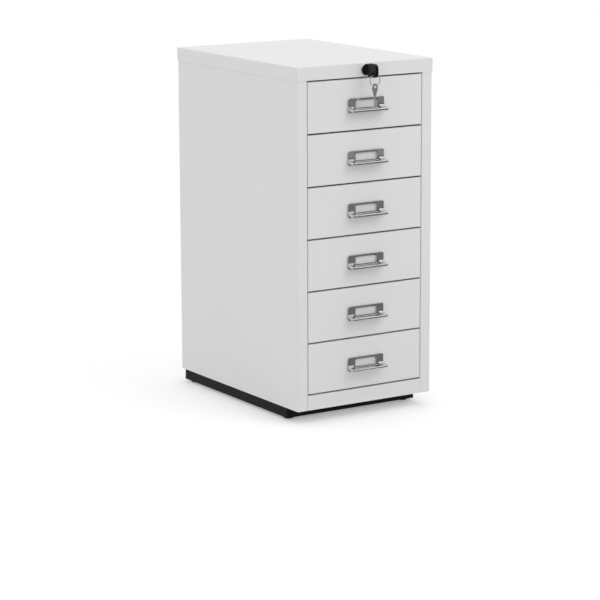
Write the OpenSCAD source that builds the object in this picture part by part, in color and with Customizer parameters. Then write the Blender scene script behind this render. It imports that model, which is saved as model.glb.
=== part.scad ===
// Small steel drawer cabinet: six drawers for A4 paper on ball slides, chrome-plated
// pulls, a lock in the cap that locks every drawer, a dark plinth and levelling feet.
// Millimetres. X runs right, Y runs to the back and Z up. The origin is on the floor,
// in the middle of the whole width and depth, with the key in its lock.

/* [Body] */
// Width over the side panels
body_w = 278; // [270:1:340]
// Depth from the drawer fronts to the back flanges
body_d = 400; // [390:1:470]
// Height from the floor pan's underside to the top of the cap
body_h = 595; // [560:1:680]
// Thickness of the body's sheet
sheet = 1; // [0.8:0.1:1.2]
// Outside radius of the folds in the body's sheet
bend_r = 1.6; // [1.4:0.1:2.4]
// Gap between the cap's skirt and the body
cap_gap = 0.2; // [0.1:0.05:0.5]
// Height of the cap's skirt
cap_h = 23.9; // [23:0.1:30]
// Width of the posts beside the drawers
post_w = 20.4; // [18:0.2:28]
// Depth of each post's inner return
post_return = 20; // [15:1:35]
// Height of the rail below the lowest drawer
base_rail_h = 25.6; // [20:0.2:50]
// Width of the flanges folded along the body's open edges
flange = 12; // [11:0.5:16]
// Width of the side panels' back flanges
back_flange = 16; // [14:0.5:24]

/* [Drawers] */
// Gap above and below each drawer front
front_gap = 2.7; // [2:0.1:4]
// Gap beside each drawer front
side_gap = 1.2; // [0.8:0.1:2]
// Depth of the folded drawer front
front_d = 14; // [12:0.5:18]
// Thickness of the tray's sheet
tray_t = 0.8; // [0.7:0.1:1.2]
// Height of the tray
tray_h = 67; // [58:1:70]
// Height of the tray's floor above the lower edge of its front
tray_up = 5; // [3:0.5:9]
// Width of the hem along the top of the tray's sides
hem = 3; // [2:0.5:6]

/* [Slides] */
// Room for the lock bar between the trays and the back of the body
rear_room = 36; // [33:0.5:60]
// How far a drawer opens
travel = 250; // [200:5:255]
// Thickness of a slide between the post and the tray
slide_t = 10.2; // [9.6:0.1:12]
// Height of the outer rail
slide_h = 35; // [32:0.5:42]
// Height of the slide's middle above the lower edge of the drawer front
slide_up = 34; // [28:0.5:44]
// Thickness of the rails' steel
rail_t = 1.2; // [1:0.1:1.4]
// Diameter of the bearing balls
ball_d = 4; // [3.6:0.1:4.4]
// Width of the upright channels that carry the rails
upright_w = 34; // [24:1:50]

/* [Pull] */
// Width of the pull
pull_w = 74; // [66:1:96]
// Height of the pull
pull_h = 25.5; // [24.5:0.5:32]
// How far the pull stands out of the drawer front
pull_out = 20; // [17:0.5:23]
// Thickness of the pull's plate
plate_t = 2.6; // [2.2:0.1:3.4]
// Width of the label window
window_w = 44; // [36:1:50]
// Height of the label window
window_h = 12.8; // [11:0.2:13.4]
// Diameter of the bar along the lip
bar_d = 4.6; // [4:0.2:5.4]
// Distance from the front's upper edge to the middle of the pull
pull_drop = 45.5; // [38:0.5:52]
// Diameter of the pull's pegs
peg_d = 5; // [4:0.2:6]

/* [Lock] */
// Diameter of the bezel
bezel_d = 22; // [20.5:0.1:22.6]
// Thickness of the bezel
bezel_t = 2.4; // [2:0.1:3]
// Diameter of the black face inside the bezel
face_d = 18; // [16.5:0.1:18.6]
// Diameter of the lock's barrel
barrel_d = 16; // [14.5:0.1:16.5]
// Length of the barrel behind the body's front plane
barrel_len = 22; // [18:0.5:30]
// Diameter of the turning plug
plug_d = 11.9; // [10.9:0.1:12.2]
// How far the key's head reaches in front of the drawers
key_reach = 35; // [33:0.5:37]
// Length of the key's head
head_len = 27; // [24:0.5:28]
// Height of the key's head
head_h = 23.4; // [20:0.2:23.6]
// Thickness of the key's head
head_t = 6.4; // [5.4:0.1:6.8]
// Diameter of the hole for the ring in the key's head
head_hole_d = 5.6; // [5.4:0.1:6.2]
// Mean radius of the key ring
ring_r = 9; // [8.6:0.1:10]
// Diameter of the ring's wire
wire_d = 1.2; // [1:0.1:1.4]
// Length of the spare key
spare_len = 42.6; // [38:0.2:43.4]
// Width of the spare key's bow
bow_w = 17.5; // [15:0.5:19]
// Thickness of the spare key
spare_t = 1.5; // [1.2:0.1:1.8]

/* [Lock bar] */
// Diameter of the rod from the lock to the back
rod_d = 6; // [5:0.1:7]
// Distance from the rod's axis to the crank pin
crank_r = 8; // [7:0.1:8.2]
// Diameter of the crank pin
pin_d = 4; // [3.4:0.1:4.2]
// Width of the lock bar
bar_w = 24; // [22:0.5:32]
// Depth of the lock bar's channel
bar_deep = 7.7; // [6.5:0.1:9]
// Thickness of the lock bar
bar_t = 1.5; // [1.2:0.1:1.8]
// Height of the locking noses above their tabs
nose_h = 10; // [9.6:0.1:12]
// Height of a tray hook's lower edge above the lower edge of its front
hook_up = 40; // [34:0.5:46]
// Thickness of the tray hooks and locking noses
hook_t = 2; // [1.5:0.1:2.3]

/* [Plinth and feet] */
// Height of the plinth
plinth_h = 20; // [16:0.5:40]
// Distance from the drawer fronts back to the plinth
plinth_back = 42; // [25:1:60]
// Distance from the side panels in to the plinth
plinth_in = 4.5; // [4:0.5:20]
// Distance from the back to the plinth
plinth_rear = 3; // [3:0.5:20]
// Thickness of the plinth's steel
plinth_t = 1.2; // [1:0.1:1.6]
// Height of the feet below the plinth
foot_h = 4.5; // [3:0.5:10]
// Diameter of the feet
foot_d = 18; // [14:0.5:26]
// Diameter of the feet's threaded studs
stud_d = 7.8; // [5.8:0.1:9.8]
// Distance from the plinth's sides to the middle of a foot
foot_in = 14; // [12:0.5:20]
// Distance from the plinth's ends to the middle of a foot
foot_end = 18; // [16:0.5:40]

/* [Hidden] */
$fn = 32;

paint = [0.90, 0.91, 0.92];
black_paint = [0.10, 0.11, 0.11];
zinc = [0.72, 0.73, 0.75];
chrome_plate = [0.80, 0.81, 0.82];
aluminium = [0.78, 0.79, 0.80];
black_plastic = [0.07, 0.08, 0.08];

// Drawers are numbered from the top.
drawer_count = 6;
// Gap between pieces that are pushed into each other and then fixed
fit = 0.1;
// Radial gap of a turning shaft in its bore
run_fit = 0.05;
// Gap between rolling or sliding pieces
run_gap = 0.3;

// Outline of the body
cap_over = sheet + cap_gap;
front_y = (key_reach - body_d - cap_over) / 2;
back_y = front_y + body_d;
cap_y = front_y - cap_over;
base_z = foot_h + plinth_h;
top_z = base_z + body_h;
roof_z = top_z - sheet;
wall_x = body_w / 2;
wall_in = wall_x - sheet;
post_x = wall_x - post_w;
panel_y = back_y - 2 * sheet;

// Drawer fronts and trays
front_h = (body_h - cap_h - base_rail_h - (drawer_count + 1) * front_gap) / drawer_count;
front_w = 2 * (post_x - side_gap);
tray_w = 2 * (post_x - slide_t);
tray_y = front_y + front_d;
tray_back = back_y - rear_room;
// The slides are as long as the tray.
slide_len = tray_back - tray_y;
function front_z(i) = base_z + base_rail_h + front_gap + (drawer_count - i) * (front_h + front_gap);

// Slides: p runs from the post towards the tray, q up from the slide's middle.
rail_y = tray_y + 2;
rail_bend = rail_t + 0.6;
race_d = 0.5;
race_r = ball_d / 2 + run_gap;
ball_q = slide_h / 2 - rail_t - race_r + race_d;
inner_h = 2 * (ball_q - race_r + race_d);
ball_p = slide_t / 2 + 0.9;
outer_leg = ball_p + 2.4;
inner_leg = slide_t - ball_p + 2.2;
stop_h = 12;
cage_t = 0.6;
cage_p = rail_t + 1;
cage_w = ball_p - cage_p + ball_d / 2 + 0.9;
cage_y = rail_y + rail_t + run_gap + travel / 2;
cage_len = slide_len - travel - 5;
ball_count = 4;

// Uprights stand behind the posts and near the slides' back ends.
upright_gap = 16;
upright_y = [
  front_y + post_return + flange + upright_gap, rail_y + slide_len - upright_w - upright_gap / 2
];

// Lock and keys
lock_z = top_z - cap_h / 2;
face_t = 1.6;
face_recess = 1.2;
blade_t = 2.2;
blade_w = 7.4;
blade_in = 14;
hole_y = front_y - key_reach + 7;
hole_z = lock_z - 6.3;
ring_turn = -12;
spare_turn = 22;
// Gap between the ring's wire and the holes it hangs in and carries
hang_gap = 0.45;
// The wire bends down inside the thick head, so its middle lies this much above the hole's edge.
ring_lift = ring_r - sqrt(ring_r * ring_r - head_t * head_t / 4) + hang_gap;
ring_z = hole_z - head_hole_d / 2 + wire_d / 2 + ring_lift - ring_r;
spare_hole_w = 7;
spare_hole_h = 5;
spare_hole_z = ring_z - ring_r + wire_d / 2 + hang_gap - spare_hole_h / 2;
bow_r = bow_w / 2;
bow_above_hole = 5.8;

// Lock bar: at rest the crank pin is 45 degrees below the rod, and a quarter turn lifts it.
bar_x = 4;
bar_y = panel_y - run_gap - bar_deep;
lift = crank_r * sqrt(2);
pin_gap = 0.55;
nose_gap = 3;
tab_out = 9.5;
tab_foot = 8;
lip_gap = 1.5;
hook_room = lift - nose_gap + 1.2;
guide_t = 1.2;
guide_rows = [2, 4, 6];
arm_t = 2.5;
arm_y = bar_y - 1.5 - arm_t;

// Plinth outline and feet
plinth_x = wall_x - plinth_in;
plinth_y = [front_y + plinth_back, back_y - plinth_rear];
gusset_t = 3;
foot_x = plinth_x - foot_in;
foot_y = [plinth_y[0] + foot_end, plinth_y[1] - foot_end];

// A strip of folded sheet seen end-on. Each leg is [flat length, turn after it]: 90 folds
// left, -90 folds right. The sheet lies left of the line, t thick, and r is the fold's
// inside radius.
module fold(legs, t, r, i = 0) {
  flat = legs[i][0];
  turn = legs[i][1];
  square([flat, t]);
  if (turn != 0) {
    side = turn > 0 ? 1 : -1;
    translate([flat, turn > 0 ? t + r : -r]) {
      intersection() {
        difference() {
          circle(r + t);
          circle(r);
        }
        translate([0, turn > 0 ? -r - t : 0]) square(r + t);
      }
      translate([turn > 0 ? r + t : r, 0]) rotate(90 * side) fold(legs, t, r, i + 1);
    }
  }
}

// A rectangle with round corners, centred
module round_rect(w, h, r) {
  square([w - 2 * r, h], center = true);
  square([w, h - 2 * r], center = true);
  for (x = [-1, 1], y = [-1, 1])
    translate([x * (w / 2 - r), y * (h / 2 - r)]) circle(r);
}

// A rectangle standing on the X axis, with its two upper corners round
module round_top(w, h, r) {
  translate([-w / 2, 0]) square([w, h - r]);
  translate([-w / 2 + r, 0]) square([w - 2 * r, h]);
  for (x = [-1, 1]) translate([x * (w / 2 - r), h - r]) circle(r);
}

// Extrudes a Y-Z drawing along X, centred
module along_x(length) {
  rotate([90, 0, 90]) linear_extrude(length, center = true) children();
}

// Extrudes an X-Z drawing along Y, from y to y + length
module along_y(y, length) {
  translate([0, y + length, 0]) rotate([90, 0, 0]) linear_extrude(length) children();
}

// A cylinder along Y at x, z
module shaft(x, z, d, y, length) {
  translate([x, y + length, z]) rotate([90, 0, 0]) cylinder(d = d, h = length);
}

// The same drawing on the left and, mirrored, on the right
module both_sides() {
  children();
  mirror([1, 0, 0]) children();
}

// ---- Body ----

rivet_d = 3.2;
rivet_x = wall_x - back_flange / 2;
// The rivets keep this distance from both ends of the visible back.
rivet_end = 20;
rivet_pitch = (body_h - cap_h - 2 * rivet_end) / drawer_count;
rivet_z = [for (k = [0 : drawer_count]) base_z + rivet_end + k * rivet_pitch];

module rivet_holes() {
  for (x = [-1, 1], z = rivet_z)
    shaft(x * rivet_x, z, rivet_d + fit, panel_y - 1, 2 * sheet + 2);
}

// Wall, front post and back flange folded from one sheet, on the right
module side_panel() {
  wall_top = roof_z - bend_r;
  difference() {
    union() {
      translate([0, 0, base_z]) linear_extrude(wall_top - base_z)
        translate([post_x, front_y + post_return]) rotate(-90)
          fold([
            [post_return - bend_r, 90], [post_w - 2 * bend_r, 90],
            [body_d - 2 * bend_r, 90], [back_flange - bend_r, 0]
          ], sheet, bend_r - sheet);
      // Flange along the top, which the cap rests on
      along_y(front_y + bend_r, panel_y - front_y - bend_r)
        translate([wall_x, wall_top - sheet]) rotate(90)
          fold([[sheet, 90], [flange - bend_r, 0]], sheet, bend_r - sheet);
    }
    rivet_holes();
  }
}

module left_side_panel() {
  color(paint) mirror([1, 0, 0]) side_panel();
}

module right_side_panel() {
  color(paint) side_panel();
}

module back_panel() {
  half = wall_x - bend_r - fit;
  color(paint) difference() {
    translate([-half, panel_y, base_z]) cube([2 * half, sheet, roof_z - base_z]);
    rivet_holes();
  }
}

// Pop rivets that hold the back panel to the side panels' flanges
module back_rivets() {
  color(aluminium) for (x = [-1, 1], z = rivet_z) {
    shaft(x * rivet_x, z, rivet_d, panel_y - 0.8, 2 * sheet + 0.8);
    shaft(x * rivet_x, z, 2 * rivet_d, back_y, 0.9);
    shaft(x * rivet_x, z, 1.5 * rivet_d, panel_y - 1, 1);
  }
}

// Lid block with folded edges, the outside and the inside of the cap
module cap_block(grow, height, r) {
  w = body_w + 2 * (cap_gap + grow);
  d = body_d + 2 * (cap_gap + grow);
  translate([0, (front_y + back_y) / 2, 0]) intersection() {
    linear_extrude(height) round_rect(w, d, r);
    along_x(w) round_top(d, height, r);
    along_y(-d / 2, d) round_top(w, height, r);
  }
}

module top_cap() {
  color(paint) difference() {
    translate([0, 0, top_z - cap_h]) cap_block(sheet, cap_h, bend_r);
    translate([0, 0, top_z - cap_h - 1]) cap_block(0, cap_h + 1 - sheet, bend_r - sheet);
    shaft(0, lock_z, barrel_d + 0.3, cap_y - 1, cap_over + 2);
  }
}

// Channel behind the cap's skirt that joins the posts and carries the lock
module head_rail() {
  rail_h = roof_z - (top_z - cap_h);
  color(paint) difference() {
    along_x(2 * post_x) translate([front_y + flange, roof_z]) rotate(180)
      fold([
        [flange - bend_r, 90], [rail_h - 2 * bend_r, 90], [flange - bend_r, 0]
      ], sheet, bend_r - sheet);
    shaft(0, lock_z, barrel_d + 0.3, front_y - 1, sheet + 2);
  }
}

module base_rail() {
  color(paint) along_x(2 * post_x) translate([front_y + flange, base_z + base_rail_h]) rotate(180)
    fold([[flange - bend_r, 90], [base_rail_h - bend_r, 0]], sheet, bend_r - sheet);
}

module floor_pan() {
  half = wall_in - fit;
  color(paint) {
    along_y(front_y + post_return + fit, panel_y - front_y - post_return - fit)
      translate([-half, base_z + flange]) rotate(-90)
        fold([
          [flange - bend_r, 90], [2 * half - 2 * bend_r, 90], [flange - bend_r, 0]
        ], sheet, bend_r - sheet);
    // Tongue between the posts, turned up behind the base rail
    along_x(2 * (post_x - fit)) translate([front_y + sheet, base_z + flange]) rotate(-90)
      fold([[flange - bend_r, 90], [post_return - bend_r, 0]], sheet, bend_r - sheet);
  }
}

module plinth_frame() {
  length = plinth_y[1] - plinth_y[0];
  inner_r = 2;
  color(black_paint) difference() {
    translate([0, (plinth_y[0] + plinth_y[1]) / 2, foot_h]) {
      linear_extrude(plinth_h) difference() {
        round_rect(2 * plinth_x, length, inner_r + plinth_t);
        round_rect(2 * (plinth_x - plinth_t), length - 2 * plinth_t, inner_r);
      }
      // Flange welded under the floor pan
      translate([0, 0, plinth_h - plinth_t]) linear_extrude(plinth_t) difference() {
        round_rect(2 * plinth_x, length, inner_r + plinth_t);
        round_rect(2 * (plinth_x - flange), length - 2 * flange, inner_r);
      }
      // Corner plates that the feet screw into
      for (x = [-1, 1], y = [-1, 1])
        translate([x * (plinth_x - plinth_t / 2 - foot_in), y * (length - plinth_t - 2 * foot_end) / 2,
                   gusset_t / 2])
          cube([2 * foot_in, 2 * foot_end, gusset_t], center = true);
    }
    for (x = [-1, 1], y = foot_y)
      translate([x * foot_x, y, foot_h - 1]) cylinder(d = stud_d + 2 * run_fit, h = gusset_t + 2);
  }
}

// Levelling foot, a plastic glide on a threaded stud, screwed right in
module foot(x, y) {
  chamfer = 0.8;
  color(black_plastic) translate([x * foot_x, foot_y[y], 0]) {
    cylinder(d1 = foot_d - 2 * chamfer, d2 = foot_d, h = chamfer);
    translate([0, 0, chamfer]) cylinder(d = foot_d, h = foot_h - chamfer);
    cylinder(d = stud_d, h = foot_h + plinth_h - plinth_t - 1.5);
  }
}

// ---- Slides ----

module left_uprights() {
  depth = wall_in - post_x;
  upright_bend = sheet + 0.8;
  foot_z = base_z + flange + sheet;
  translate([0, 0, foot_z]) linear_extrude(roof_z - bend_r - foot_z)
      for (y = upright_y) translate([-wall_in, y + upright_w + flange]) rotate(-90)
        fold([
          [flange - upright_bend, 90], [depth - 2 * upright_bend, -90],
          [upright_w - 2 * upright_bend, -90], [depth - 2 * upright_bend, 90],
          [flange - upright_bend, 0]
        ], sheet, upright_bend - sheet);
}

// Hat channels along the side walls, four in all
module slide_uprights() {
  color(zinc) both_sides() left_uprights();
}

// Draws in a slide's p-q plane at the left of drawer i, over its length from y
module in_slide(i, y, length) {
  translate([-post_x, 0, front_z(i) + slide_up]) along_y(y, length) children();
}

// A channel of a slide, open towards p, h high over its legs
module channel(h, leg, t, bend) {
  translate([leg, h / 2]) rotate(180)
    fold([[leg - bend, 90], [h - 2 * bend, 90], [leg - bend, 0]], t, bend - t);
}

module races() {
  for (q = [-1, 1]) translate([ball_p, q * ball_q]) circle(race_r);
}

module outer_rail(i) {
  in_slide(i, rail_y, slide_len) difference() {
    channel(slide_h, outer_leg, rail_t, rail_bend);
    races();
  }
  // Front stop for the ball cage, and back stop for the inner rail
  in_slide(i, rail_y, rail_t) translate([rail_t / 2, -stop_h / 2])
    square([cage_p + cage_t - rail_t / 2, stop_h]);
  in_slide(i, rail_y + slide_len - rail_t, rail_t) translate([rail_t / 2, -stop_h / 2])
    square([slide_t - rail_t / 2 - run_gap, stop_h]);
}

module left_outer_rails() {
  color(zinc) for (i = [1 : drawer_count]) outer_rail(i);
}

module right_outer_rails() {
  color(zinc) mirror([1, 0, 0]) for (i = [1 : drawer_count]) outer_rail(i);
}

module inner_rails(i) {
  length = slide_len - rail_t - run_gap;
  color(zinc) both_sides() in_slide(i, rail_y, length) difference() {
    translate([slide_t, 0]) mirror([1, 0]) channel(inner_h, inner_leg, rail_t, rail_bend);
    races();
  }
}

// Pressed cages with their balls, top and bottom in both slides of a drawer
module ball_cages(i) {
  cage_h = 2 * ball_q + cage_t;
  pitch = (cage_len - 3 * ball_d) / (ball_count - 1);
  ball_y = [for (k = [0 : ball_count - 1]) cage_y + 1.5 * ball_d + k * pitch];
  color(zinc) both_sides() {
    difference() {
      in_slide(i, cage_y, cage_len) translate([cage_p, 0])
        channel(cage_h, cage_w, cage_t, cage_t + 0.4);
      for (y = ball_y)
        translate([ball_p - post_x, y, front_z(i) + slide_up])
          cylinder(d = ball_d + 0.3, h = 2 * slide_h, center = true);
    }
    for (y = ball_y, q = [-1, 1])
      translate([ball_p - post_x, y, front_z(i) + slide_up + q * ball_q]) sphere(d = ball_d);
  }
}

// ---- Drawers ----

// Folded box front: a face with returns on all four sides, open to the back
module pan_block(w, h, r) {
  intersection() {
    linear_extrude(h) translate([0, front_d]) mirror([0, 1]) round_top(w, front_d, r);
    translate([0, front_d, h / 2]) rotate([0, 90, 90]) linear_extrude(2 * front_d, center = true)
      square([h, w], center = true);
    translate([0, 0, h / 2]) rotate([90, 0, 90]) linear_extrude(w, center = true)
      translate([front_d, 0]) rotate(90) round_top(h, front_d, r);
  }
}

peg_x = (window_w + pull_w) / 4;
peg_up = 4;

module drawer_front(i) {
  pull_z = front_z(i) + front_h - pull_drop;
  color(paint) difference() {
    translate([0, front_y, front_z(i)]) pan_block(front_w, front_h, bend_r);
    translate([0, front_y + sheet, front_z(i) + sheet])
      pan_block(front_w - 2 * sheet, front_h - 2 * sheet, bend_r - sheet);
    for (x = [-1, 1]) shaft(x * peg_x, pull_z + peg_up, peg_d + fit, front_y - 1, sheet + 2);
  }
}

module tray(i) {
  z = front_z(i) + tray_up;
  half = tray_w / 2;
  rim = sheet + fit;
  color(paint) {
    // Plate that closes the folded front
    translate([-front_w / 2 + rim, tray_y - tray_t, front_z(i) + rim])
      cube([front_w - 2 * rim, tray_t, front_h - 2 * rim]);
    difference() {
      translate([-half, tray_y, z]) cube([tray_w, slide_len, tray_h]);
      translate([-half + tray_t, tray_y - 1, z + tray_t])
        cube([tray_w - 2 * tray_t, slide_len + 1 - tray_t, tray_h]);
    }
    // Hems along the sides
    both_sides() translate([-half, tray_y, z + tray_h - tray_t])
      cube([hem, slide_len, tray_t]);
    hook(i);
  }
}

// Hook welded to the tray's back: a foot, an arm over the locking nose, and a lip behind it
module hook(i) {
  reach = bar_y - tab_out + 2 * hook_t + lip_gap - tray_back - fit;
  width = bar_w - 8;
  translate([bar_x, tray_back + fit, front_z(i) + hook_up]) along_x(width) {
    square([hook_t, hook_room + hook_t]);
    translate([0, hook_room]) square([reach, hook_t]);
    translate([reach - hook_t, 0]) square([hook_t, hook_room + hook_t]);
  }
}

// ---- Pulls ----

bar_low = 2.6;
bar_u = pull_out - bar_d / 2;
bar_z = bar_low + bar_d / 2;
// The lip's upper face lies a step below the bar's top. A strip of the frame runs between
// the lip and the label window.
lip_t = 1.6;
lip_step = 0.6;
lip_z = bar_low + bar_d - lip_step;
lip_fillet = 1.4;
strip = 2;
window_low = lip_z + strip;
frame_w = 4;
lobe_w = (pull_w - window_w) / 2;
arm_w = lobe_w - frame_w;
arm_top = 11.6;
arm_h = 5.6;
groove_w = 1;
groove_deep = 0.6;
pocket_edge = 2;
pocket_deep = 0.8;

// Side view of the pull's ends: u runs out of the drawer front, w up. A concave sweep
// leads from the plate into the arm, which slopes down to the bar.
module arm_profile() {
  sweep_r = 5;
  slope = atan2(arm_top - (bar_z + bar_d / 2), bar_u - plate_t);
  // The sweep's circle touches the plate and the arm's upper edge.
  centre = [plate_t + sweep_r, arm_top + sweep_r * (1 - sin(slope)) / cos(slope)];
  square([plate_t, pull_h]);
  difference() {
    polygon([
      [0, arm_top - arm_h], [0, centre[1]], [plate_t, centre[1]],
      centre + sweep_r * [-sin(slope), -cos(slope)],
      [bar_u, bar_z + bar_d / 2], [bar_u, bar_low], [plate_t, arm_top - arm_h]
    ]);
    translate(centre) circle(sweep_r);
  }
  translate([bar_u, bar_z]) circle(d = bar_d);
}

// Side view between the arms: plate, thin lip and bar
module lip_profile() {
  square([plate_t, pull_h]);
  translate([0, lip_z - lip_t]) square([bar_u, lip_t]);
  translate([plate_t, lip_z]) difference() {
    square(lip_fillet);
    translate([lip_fillet, lip_fillet]) circle(lip_fillet);
  }
  translate([bar_u, bar_z]) circle(d = bar_d);
}

module pull(i) {
  top = front_z(i) + front_h - pull_drop;
  corner = 3.8;
  window_corner = 2.6;
  lip_corner = 5;
  stake = 1.5;
  color(chrome_plate) translate([0, front_y, top - pull_h / 2]) {
    difference() {
      // The u axis points out of the front, towards -Y.
      intersection() {
        mirror([0, 1, 0]) union() {
          along_x(pull_w - 2 * arm_w + 1) lip_profile();
          both_sides() translate([(pull_w - arm_w) / 2, 0, 0]) along_x(arm_w) arm_profile();
        }
        translate([0, 0, pull_h / 2]) rotate([90, 0, 0])
          linear_extrude(3 * pull_out, center = true) round_rect(pull_w, pull_h, corner);
        linear_extrude(pull_h) translate([0, pull_out])
          round_rect(pull_w, 4 * pull_out, lip_corner);
      }
      // Label window, and the pocket behind the plate where the label slides in
      translate([0, 0, window_low + window_h / 2]) rotate([90, 0, 0])
        linear_extrude(3 * plate_t, center = true) round_rect(window_w, window_h, window_corner);
      translate([-window_w / 2 - pocket_edge, -pocket_deep, window_low - pocket_edge / 2])
        cube([window_w + 2 * pocket_edge, 2 * pocket_deep, pull_h]);
      // Grooves between the window frame and the end lobes
      for (x = [-1, 1])
        translate([x * (window_w / 2 + frame_w) - groove_w / 2, -plate_t - groove_deep, arm_top])
          cube([groove_w, 2 * groove_deep, pull_h]);
    }
    // Pegs through the drawer front, staked over behind it
    for (x = [-1, 1]) {
      shaft(x * peg_x, pull_h / 2 + peg_up, peg_d, -plate_t / 2, plate_t / 2 + sheet + stake);
      shaft(x * peg_x, pull_h / 2 + peg_up, peg_d + stake, sheet, stake);
    }
  }
}

// ---- Lock ----

module lock_housing() {
  color(chrome_plate) difference() {
    union() {
      shaft(0, lock_z, bezel_d, cap_y - bezel_t, bezel_t);
      shaft(0, lock_z, barrel_d, cap_y - 0.5, front_y + barrel_len - cap_y + 0.5);
    }
    shaft(0, lock_z, plug_d + 2 * run_fit, cap_y - bezel_t - 1, 2 * (barrel_len + bezel_t));
    shaft(0, lock_z, face_d + 2 * fit, cap_y - bezel_t - 1, face_recess + 1);
  }
}

// Hexagon nut that clamps the lock in the head rail
module lock_nut() {
  across_flats = barrel_d + 2.6;
  nut_h = barrel_d / 4;
  color(zinc) difference() {
    translate([0, front_y + sheet + nut_h, lock_z]) rotate([90, 0, 0])
      cylinder(d = across_flats / cos(30), h = nut_h, $fn = 6);
    shaft(0, lock_z, barrel_d + 2 * run_fit, front_y, 2 * nut_h);
  }
}

module key_slot(y, length) {
  translate([0, y + length / 2, lock_z])
    cube([blade_t + 2 * fit, length, blade_w + 2 * fit], center = true);
}

face_y = cap_y - bezel_t + face_recess - fit - face_t;

module lock_plug() {
  y = face_y + face_t;
  color(zinc) difference() {
    shaft(0, lock_z, plug_d, y, front_y + barrel_len - 1 - y);
    key_slot(y - 1, front_y + blade_in + 1 - y + fit);
  }
}

module plug_face() {
  color(black_plastic) difference() {
    shaft(0, lock_z, face_d, face_y, face_t);
    key_slot(face_y - 1, face_t + 2);
  }
}

head_y = front_y - key_reach;

module key_blade() {
  y = head_y + head_len / 2;
  color(zinc) translate([0, (y + front_y + blade_in) / 2, lock_z])
    cube([blade_t, front_y + blade_in - y, blade_w], center = true);
}

module key_head() {
  corner = 7;
  pocket = head_len / 2 + 1;
  color(black_plastic) difference() {
    translate([0, head_y + head_len / 2, lock_z]) along_x(head_t)
      round_rect(head_len, head_h, corner);
    translate([0, hole_y, hole_z]) rotate([0, 90, 0])
      cylinder(d = head_hole_d, h = 2 * head_t, center = true);
    key_slot(head_y + head_len / 2 - fit, pocket);
  }
}

module key_ring() {
  color(chrome_plate) translate([0, hole_y, ring_z]) rotate([90, 0, ring_turn])
    rotate_extrude($fn = 64) translate([ring_r, 0]) circle(d = wire_d);
}

// Spare key hanging on the ring, its outline drawn in its own plane
module spare_outline() {
  blade = 5;
  neck_z = -17;
  tip_z = bow_above_hole - spare_len;
  difference() {
    union() {
      translate([0, bow_above_hole - bow_r]) circle(bow_r, $fn = 48);
      polygon([
        [-bow_r + 0.3, -5], [-blade / 2, neck_z], [-blade / 2, tip_z + 2], [-0.6, tip_z],
        [0.6, tip_z], [blade / 2, tip_z + 2], [blade / 2, neck_z], [bow_r - 0.3, -5]
      ]);
    }
    round_rect(spare_hole_w, spare_hole_h, spare_hole_h / 2 - 0.01);
    // Bitting along one edge
    for (k = [0 : 3]) translate([blade / 2, tip_z + 4 + 4 * k])
      polygon([[0.5, -1.5], [0.5, 1.5], [-0.5 - 0.4 * (k % 3), 0]]);
  }
}

module spare_key() {
  color(chrome_plate) translate([0, hole_y, spare_hole_z]) rotate([90, 0, spare_turn])
    linear_extrude(spare_t, center = true) spare_outline();
}

// Rod from the plug to the crank behind the drawers
module lock_rod() {
  y = front_y + barrel_len - 1;
  color(zinc) shaft(0, lock_z, rod_d, y, arm_y + arm_t - y);
}

module lock_crank() {
  boss = rod_d + 5;
  color(zinc) {
    difference() {
      translate([0, arm_y + arm_t, lock_z]) rotate([90, 45, 0]) linear_extrude(arm_t) {
        circle(d = boss);
        translate([0, -pin_d / 2 - 1]) square([crank_r, pin_d + 2]);
        translate([crank_r, 0]) circle(d = pin_d + 2);
      }
      shaft(0, lock_z, rod_d + 2 * run_fit, arm_y - 1, arm_t + 2);
    }
    shaft(crank_r / sqrt(2), lock_z - crank_r / sqrt(2), pin_d, arm_y, arm_t + 1.5 + bar_t + 2.5);
  }
}

// Bracket under the cap that carries the rod's back end
module rod_bracket() {
  bracket_t = 1.5;
  drop = roof_z - lock_z + 1.2 * rod_d;
  color(zinc) difference() {
    translate([bar_x / 2, 0, 0]) along_x(bar_w) translate([arm_y - 2, roof_z - drop]) rotate(90)
      fold([[drop - bracket_t - 1, 90], [flange, 0]], bracket_t, 1);
    shaft(0, lock_z, rod_d + 2 * run_fit, arm_y - flange, flange);
  }
}

// ---- Lock bar ----

function nose_z(i) = front_z(i) + hook_up - nose_gap;

// Channel that runs down the back, with a slot for the crank pin
module lock_bar() {
  pin_z = lock_z - crank_r / sqrt(2);
  slot_h = pin_d + 2 * pin_gap;
  slot_x = [crank_r / sqrt(2) - pin_d / 2 - pin_gap, crank_r + pin_d / 2 + pin_gap];
  top = pin_z + slot_h / 2 + 2;
  bottom = nose_z(drawer_count) - nose_h - tab_foot - hook_t;
  color(zinc) difference() {
    translate([0, 0, bottom]) linear_extrude(top - bottom)
      translate([bar_x - bar_w / 2, bar_y + bar_deep]) rotate(-90)
        fold([
          [bar_deep - bar_t - 0.8, 90], [bar_w - 2 * (bar_t + 0.8), 90],
          [bar_deep - bar_t - 0.8, 0]
        ], bar_t, 0.8);
    translate([slot_x[0], bar_y - 1, pin_z - slot_h / 2])
      cube([slot_x[1] - slot_x[0], bar_t + 2, slot_h]);
  }
}

// Tabs welded to the bar's front: a foot on the bar, an arm and the nose that stands up
// in front of a tray's hook
module lock_tabs() {
  width = bar_w - 4;
  color(zinc) for (i = [1 : drawer_count])
    translate([bar_x, bar_y, nose_z(i) - nose_h]) along_x(width) {
      translate([-hook_t, -tab_foot]) square([hook_t, tab_foot]);
      translate([-tab_out, -hook_t]) square([tab_out, hook_t]);
      translate([-tab_out, -hook_t]) square([hook_t, nose_h + hook_t]);
    }
}

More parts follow.
